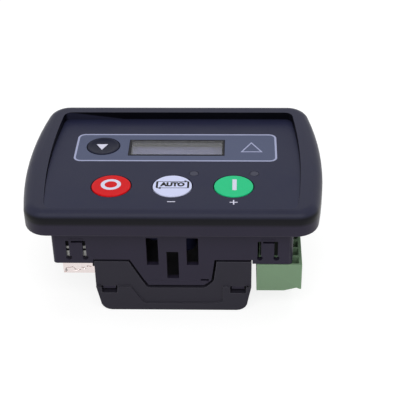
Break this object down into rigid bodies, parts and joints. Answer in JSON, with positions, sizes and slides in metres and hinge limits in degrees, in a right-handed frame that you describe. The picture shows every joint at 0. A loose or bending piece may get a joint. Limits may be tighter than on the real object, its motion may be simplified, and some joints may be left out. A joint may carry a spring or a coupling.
{
  "type": "genset controller",
  "caption": "Panel-mounted genset controller: rounded bezel, sunk fascia with display and round keys, slotted case, clipped rear cover, rear connectors.",
  "frame": {"origin": "centre of the rear cover's flat back, with the controller lying on its back", "axes": "+Z out through the fascia, +Y towards the fascia's top edge with the display, +X to the right as the fascia is read"},
  "size_m": [0.1166, 0.0782, 0.051],
  "materials": {
    "bezel_black": "fine moulded texture, satin",
    "cover_black": "fine moulded texture, matt",
    "film": "printed polyester film, satin",
    "pane": "tinted clear window, glossy",
    "red_key": "satin",
    "white_key": "satin",
    "green_key": "satin",
    "black_key": "satin",
    "light_pipe": "smoked clear plastic",
    "led_resin": "tinted resin",
    "switch_black": "matt",
    "board_green": "solder resist on glass fibre",
    "lcd_glass": "polished",
    "backlight_white": "opal diffuser",
    "holder_black": "matt",
    "tinned_steel": "tinned, satin",
    "insert_white": "satin",
    "connector_green": "polyamide, satin",
    "chip_black": "matt",
    "crystal_can": "satin",
    "capacitor_sleeve": "shrink sleeve"
  },
  "bodies": {
    "housing": {"front_case": "bezel_black", "rear_cover": "cover_black", "fascia_overlay": "film", "display_window": "pane", "stop_switch": "switch_black", "auto_switch": "switch_black", "start_switch": "switch_black", "scroll_switch": "switch_black", "auto_led": "led_resin", "start_led": "led_resin", "alarm_led": "led_resin", "auto_light_pipe": "light_pipe", "start_light_pipe": "light_pipe", "alarm_light_pipe": "light_pipe", "display_glass": "lcd_glass", "display_backlight": "backlight_white", "display_holder": "holder_black", "display_pin_strip": "holder_black", "main_board": "board_green", "processor": "chip_black", "clock_crystal": "crystal_can", "power_inductor": "chip_black", "crank_relay": "chip_black", "fuel_relay": "chip_black", "supply_capacitor": "capacitor_sleeve", "filter_capacitor": "capacitor_sleeve", "usb_shell": "tinned_steel", "usb_insert": "insert_white", "output_plug": "connector_green", "output_header": "connector_green", "sensing_header": "connector_green", "sensing_pin_1": "tinned_steel", "sensing_pin_2": "tinned_steel", "sensing_pin_3": "tinned_steel", "sensing_pin_4": "tinned_steel"},
    "stop_button": {"stop_key": "red_key", "stop_switch_stem": "chip_black"},
    "auto_button": {"auto_key": "white_key", "auto_switch_stem": "chip_black"},
    "start_button": {"start_key": "green_key", "start_switch_stem": "chip_black"},
    "scroll_button": {"scroll_key": "black_key", "scroll_switch_stem": "chip_black"}
  },
  "joints": [
    {"name": "stop_press", "type": "slide", "parent": "housing", "child": "stop_button", "axis": [0, 0, -1], "range_m": [0, 0.0005], "stiffness_N_per_m": 1500, "springref_m": -0.0008},
    {"name": "auto_press", "type": "slide", "parent": "housing", "child": "auto_button", "axis": [0, 0, -1], "range_m": [0, 0.0005], "stiffness_N_per_m": 1500, "springref_m": -0.0008},
    {"name": "start_press", "type": "slide", "parent": "housing", "child": "start_button", "axis": [0, 0, -1], "range_m": [0, 0.0005], "stiffness_N_per_m": 1500, "springref_m": -0.0008},
    {"name": "scroll_press", "type": "slide", "parent": "housing", "child": "scroll_button", "axis": [0, 0, -1], "range_m": [0, 0.0005], "stiffness_N_per_m": 1500, "springref_m": -0.0008}
  ]
}
